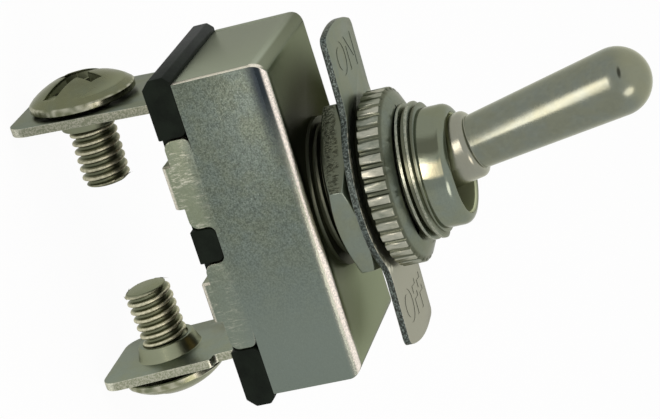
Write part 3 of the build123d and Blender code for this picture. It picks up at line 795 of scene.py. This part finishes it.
def pale_floor():
    """A pale floor that shows nearly white and keeps a faint shadow."""
    glow_share = 0.95
    paint = bpy.data.materials.new("pale_floor")
    paint.use_nodes = True
    tree = paint.node_tree
    tree.nodes.clear()
    matt = source(tree, "ShaderNodeBsdfDiffuse", Color=(0.92, 0.92, 0.92, 1))
    glow = source(tree, "ShaderNodeEmission", Color=(1, 1, 1, 1))
    share = tree.nodes.new("ShaderNodeMath")
    share.operation = "MULTIPLY"
    share.inputs[1].default_value = glow_share
    tree.links.new(background_share(tree), share.inputs[0])
    blended(tree, share.outputs[0], matt, glow, "ShaderNodeOutputMaterial")
    return paint


# The add-on's settings, steps and panel

class SwitchFinishes(bpy.types.PropertyGroup):
    """Tones of the finishes, and the rounding of edges"""
    nickel: FloatVectorProperty(name="Nickel", description="Plain nickel plating", subtype="COLOR",
                                default=(0.162, 0.182, 0.150), min=0, max=1)
    # Worn nickel colours real wear and also the painted highlights.
    wear_and_highlight_nickel: FloatVectorProperty(name="Worn nickel", description="Nickel rubbed bright and warm",
                                     subtype="COLOR", default=(0.78, 0.76, 0.62), min=0, max=1)
    moulding: FloatVectorProperty(name="Moulding", description="Black moulded base", subtype="COLOR",
                                  default=(0.006, 0.009, 0.006), min=0, max=1)
    edge: FloatProperty(name="Edge", description="Rounding of the sheet's edges, in mm", default=0.07,
                        min=0.01, max=0.2)


class SwitchThreads(bpy.types.PropertyGroup):
    """Sizes of the threads and the letters"""
    pitch: FloatProperty(name="Pitch", description="Pitch of the bushing's and screws' threads, in mm",
                         default=0.794, min=0.4, max=1.5)
    depth: FloatProperty(name="Depth", description="Depth of the threads, in mm", default=0.42, min=0.1,
                         max=0.6)
    lettering: FloatProperty(name="Lettering", description="Height of the stamped letters, in mm",
                             default=3.0, min=1, max=5)


class SwitchStage(bpy.types.PropertyGroup):
    """The camera and the lights"""
    lens: FloatProperty(name="Lens", description="Focal length, in mm", default=137.5, min=50, max=300)
    camera_place: FloatVectorProperty(name="Camera", description="Where the camera stands",
                                      subtype="TRANSLATION", unit="LENGTH",
                                      default=(-0.06339, -0.19655, 0.06197))
    key_light: FloatProperty(name="Key light", description="Power of the main lamp, in watts",
                             default=1.6, min=0, max=50)
    side_light: FloatProperty(name="Side light", default=0.45, min=0, max=50,
                              description="Power of the lamp that the lever reflects, in watts")
    panel_light: FloatProperty(name="Panel light", description="Power of the low panel in front, in watts",
                               default=0.105, min=0, max=5)
    room_light: FloatProperty(name="Room light", description="Strength of the even light all round",
                              default=0.6, min=0, max=1)


class SWITCH_OT_sheet_and_moulding(bpy.types.Operator):
    """Softens the folded case and the moulded base"""
    bl_idname = "switch.sheet_and_moulding"
    bl_label = "Case and base"

    def execute(self, context):
        edge = context.scene.switch_finishes.edge
        finish_piece(softened("case", edge, "folded_case"), "case")
        finish_piece(softened("base", 1.6 * edge, "moulded_base"), "base")
        return {"FINISHED"}


class SWITCH_OT_bushing(bpy.types.Operator):
    """Turns the bushing, cuts its thread, keyway, bore and pin hole, and rounds its collar"""
    bl_idname = "switch.bushing"
    bl_label = "Bushing"

    def execute(self, context):
        threads = context.scene.switch_threads
        low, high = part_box("bushing")
        bottom, top, flange_radius = low.z / mm, high.z / mm, high.x / mm
        swage_radius, neck_radius, sheet = 6.4, 5.9, 0.7
        core_radius, flange_top = 5.45, 0.3
        collar_radius, rounding = 5.2, 0.85
        mouth_radius = 4.45
        pin_radius = 0.8
        thread = threaded("thread", thread_radius, threads.pitch, threads.depth, 0.1, collar_low + 0.1)
        run_out = turned("run_out", [(0, 0), (6.3, 0), (6.3, collar_low - 0.45), (5.5, collar_low + 0.05),
                                     (0, collar_low + 0.05)])
        combine(thread, run_out, "INTERSECT")
        bushing = turned("threaded_bushing", [
            (0, bottom), (swage_radius, bottom), (swage_radius, -sheet), (neck_radius, -sheet),
            (neck_radius, 0), (flange_radius, 0), (flange_radius, flange_top), (core_radius, flange_top),
            (core_radius, collar_low - 0.35), (collar_radius, collar_low),
            *arc(rounding, (collar_radius - rounding, top - rounding), quarter_turn), (0, top)])
        combine(bushing, thread, "UNION")
        bore = turned("bore", [(0, -3), (bore_radius, -3), (bore_radius, top - 0.25),
                               (mouth_radius, top + 0.05), (mouth_radius, 13), (0, 13)])
        combine(bushing, bore, "DIFFERENCE")
        combine(bushing, block("keyway", (5.15, -1, flange_top), (7, 1, collar_low)), "DIFFERENCE")
        drilled(bushing, pin_radius, 6, pivot_height)
        finish_piece(bushing, "bushing")
        return {"FINISHED"}


class SWITCH_OT_nuts(bpy.types.Operator):
    """Softens the hexagon nut and the knurled nut"""
    bl_idname = "switch.nuts"
    bl_label = "Nuts"

    def execute(self, context):
        edge = context.scene.switch_finishes.edge
        finish_piece(softened("hex_nut", edge, "hexagon_nut"), "hex_nut")
        finish_piece(softened("knurled_nut", 0.4 * edge, "knurled_ring_nut", steps=1), "knurled_nut")
        return {"FINISHED"}


class SWITCH_OT_legend_plate(bpy.types.Operator):
    """Softens the legend plate and stamps ON and OFF into its tabs"""
    bl_idname = "switch.legend_plate"
    bl_label = "Legend plate"

    def execute(self, context):
        size_per_height = 1.35
        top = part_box("legend_plate")[1].z
        plate = softened("legend_plate", context.scene.switch_finishes.edge, "stamped_plate")
        for word, reach in (("OFF", word_reach), ("ON", -word_reach)):
            bpy.ops.object.select_all(action="DESELECT")
            bpy.ops.object.text_add()
            letters = context.object.data
            letters.body = word
            letters.size = context.scene.switch_threads.lettering * mm * size_per_height
            letters.align_x = "CENTER"
            letters.align_y = "CENTER"
            letters.extrude = 0.03 * mm
            letters.offset = 0.06 * mm
            letters.resolution_u = 4
            bpy.ops.object.convert(target="MESH")
            stamp = context.object
            settle(stamp, Matrix.Rotation(radians(plate_turn), 4, "Z")
                   @ Matrix.Translation((reach * mm, 0, top)) @ Matrix.Rotation(pi / 2, 4, "Z"))
            editing(stamp)
            closed()
            combine(plate, stamp, "DIFFERENCE")
        finish_piece(plate, "legend_plate")
        return {"FINISHED"}


class SWITCH_OT_lever(bpy.types.Operator):
    """Turns the bat lever with its hub and hollow tail, and drills it for the pin"""
    bl_idname = "switch.lever"
    bl_label = "Lever"

    def execute(self, context):
        tip, tip_centre = 2.92, 21.0
        neck, neck_fillet = 2.36, 0.06
        hub, hub_low, hub_top, rounding = 2.95, -2.2, 7.96, 0.55
        tail, tail_top, tail_end = 2.3, -3.2, -7.3
        tail_bore, tail_bore_top = 1.55, -1.6
        pin_hole = 0.84
        # The bat's straight side runs from the neck to where it touches the ball of the tip.
        touch = atan2(hub_top - tip_centre, neck) + acos(tip / hypot(neck, tip_centre - hub_top))
        steps = 14
        ball = arc(tip, (0, tip_centre), [touch + (pi / 2 - touch) * step / steps for step in range(steps)])
        shoulder = arc(rounding, (hub - rounding, hub_top - rounding), quarter_turn)
        lever = turned("bat_lever", [
            (0, tail_bore_top), (tail_bore, tail_bore_top), (tail_bore, tail_end), (tail, tail_end),
            (tail, tail_top), (hub, hub_low), *shoulder, (neck + neck_fillet, hub_top),
            (neck, hub_top + neck_fillet), *ball, (0, tip_centre + tip)], steps=96)
        drilled(lever, pin_hole, 5, 0)
        settle(lever, Matrix.Translation((0, 0, pivot_height * mm))
               @ Matrix.Rotation(radians(-rest_lean), 4, "Y"))
        finish_piece(lever, "lever")
        return {"FINISHED"}


class SWITCH_OT_terminals(bpy.types.Operator):
    """Softens the terminals and makes their threaded screws with slot and cross recess"""
    bl_idname = "switch.terminals"
    bl_label = "Terminals and screws"

    def execute(self, context):
        edge = context.scene.switch_finishes.edge
        for name, (side, strip, gap, turn) in screw_places.items():
            finish_piece(softened(f"terminal_{name}", edge, f"strip_{name}"), f"terminal_{name}")
            screw = threaded_screw(f"screw_{name}", half_strip + gap, turn, context.scene.switch_threads)
            outward = Vector((side * cos(splay), 0, sin(splay)))
            front = Vector((0, -1, 0))
            axes = Matrix((front, outward.cross(front), outward)).transposed().to_4x4()
            middle = Vector((screw_x(side, strip), 0, -screw_depth)) * mm
            settle(screw, Matrix.Translation(middle) @ axes)
            finish_piece(screw, f"terminal_screw_{name}")
        return {"FINISHED"}


class SWITCH_OT_mechanism(bpy.types.Operator):
    """Gives each of the frame's own pieces its metal. Those that no other step replaces are shown"""
    bl_idname = "switch.mechanism"
    bl_label = "Mechanism"

    def execute(self, context):
        for name, node in frame["nodes"].items():
            for place in range(len(node.data.materials)):
                node.material_slots[place].material = finishes[slots[name]]
        return {"FINISHED"}


class SWITCH_OT_stage(bpy.types.Operator):
    """Sets up the pale floor, the soft lamps, the white surroundings and the camera"""
    bl_idname = "switch.stage"
    bl_label = "Stage"

    def execute(self, context):
        stage = context.scene.switch_stage
        bpy.ops.object.select_all(action="DESELECT")
        bpy.ops.mesh.primitive_plane_add(size=6, location=(0, 0, cad_box[0].z))
        floor = context.object
        floor.name = "floor"
        floor.data.materials.append(pale_floor())

        warm_light = (1.0, 0.88, 0.83)
        # The two lamps are aimed at the switch, and the panel lies flat and shines upwards.
        for name, place, aimed, wide, long, power in (
                ("key", (-0.42, -0.27, 0.33), True, 0.70, 0.70, stage.key_light),
                ("side", (0.213, -0.335, 0.300), True, 0.20, 0.28, stage.side_light),
                ("low_panel", (-0.045, -0.120, -0.0235), False, 0.08, 0.06, stage.panel_light)):
            lamp = bpy.data.lights.new(name, "AREA")
            lamp.shape = "ELLIPSE" if aimed else "RECTANGLE"
            lamp.size = wide
            lamp.size_y = long
            lamp.energy = power
            lamp.color = warm_light
            holder = bpy.data.objects.new(name, lamp)
            holder.location = place
            holder.rotation_euler = (pi, 0, 0)
            if aimed:
                holder.rotation_euler = (-Vector(place)).to_track_quat("-Z", "Y").to_euler()
            holder.visible_camera = False
            # The key lamp lights the base and the floor, and the metal does not mirror it as a pale disc.
            holder.visible_glossy = name != "key"
            context.scene.collection.objects.link(holder)

        context.scene.world = white_room(stage.room_light)
        lens = bpy.data.cameras.new("photo_lens")
        lens.lens = stage.lens
        lens.sensor_width = 36
        lens.clip_start = 0.01
        lens.clip_end = 20
        camera = bpy.data.objects.new("camera", lens)
        right = Vector((0.2911813, 0.20209545, 0.93507801))
        up = Vector((-0.90822676, 0.36548299, 0.20382919))
        axes = Matrix((right, up, right.cross(up))).transposed().to_4x4()
        camera.matrix_world = Matrix.Translation(stage.camera_place) @ axes
        context.scene.collection.objects.link(camera)
        context.scene.camera = camera
        context.scene.view_settings.view_transform = "Standard"
        return {"FINISHED"}


class SWITCH_PT_studio(bpy.types.Panel):
    """Lists the switch's settings and steps in the sidebar"""
    bl_label = "Toggle switch"
    bl_idname = "SWITCH_PT_studio"
    bl_space_type = "VIEW_3D"
    bl_region_type = "UI"
    bl_category = "Toggle Switch"

    def draw(self, context):
        for group in groups:
            props = getattr(context.scene, group)
            box = self.layout.box()
            for name in props.__annotations__:
                box.prop(props, name)
        for operator in operators:
            self.layout.operator(operator.bl_idname)


operators = (SWITCH_OT_sheet_and_moulding, SWITCH_OT_bushing, SWITCH_OT_nuts, SWITCH_OT_legend_plate,
             SWITCH_OT_lever, SWITCH_OT_terminals, SWITCH_OT_mechanism, SWITCH_OT_stage)
groups = {"switch_finishes": SwitchFinishes, "switch_threads": SwitchThreads, "switch_stage": SwitchStage}


def register():
    for name, group in groups.items():
        bpy.utils.register_class(group)
        setattr(bpy.types.Scene, name, PointerProperty(type=group))
    for item in (*operators, SWITCH_PT_studio):
        bpy.utils.register_class(item)


def unregister():
    for item in (*operators, SWITCH_PT_studio):
        bpy.utils.unregister_class(item)
    for name, group in groups.items():
        delattr(bpy.types.Scene, name)
        bpy.utils.unregister_class(group)


def main():
    register()
    finishes.update(metals(bpy.context.scene.switch_finishes))
    bpy.ops.switch.sheet_and_moulding()
    bpy.ops.switch.bushing()
    bpy.ops.switch.nuts()
    bpy.ops.switch.legend_plate()
    bpy.ops.switch.lever()
    bpy.ops.switch.terminals()
    bpy.ops.switch.mechanism()
    bpy.ops.switch.stage()


if __name__ == "__main__":
    main()
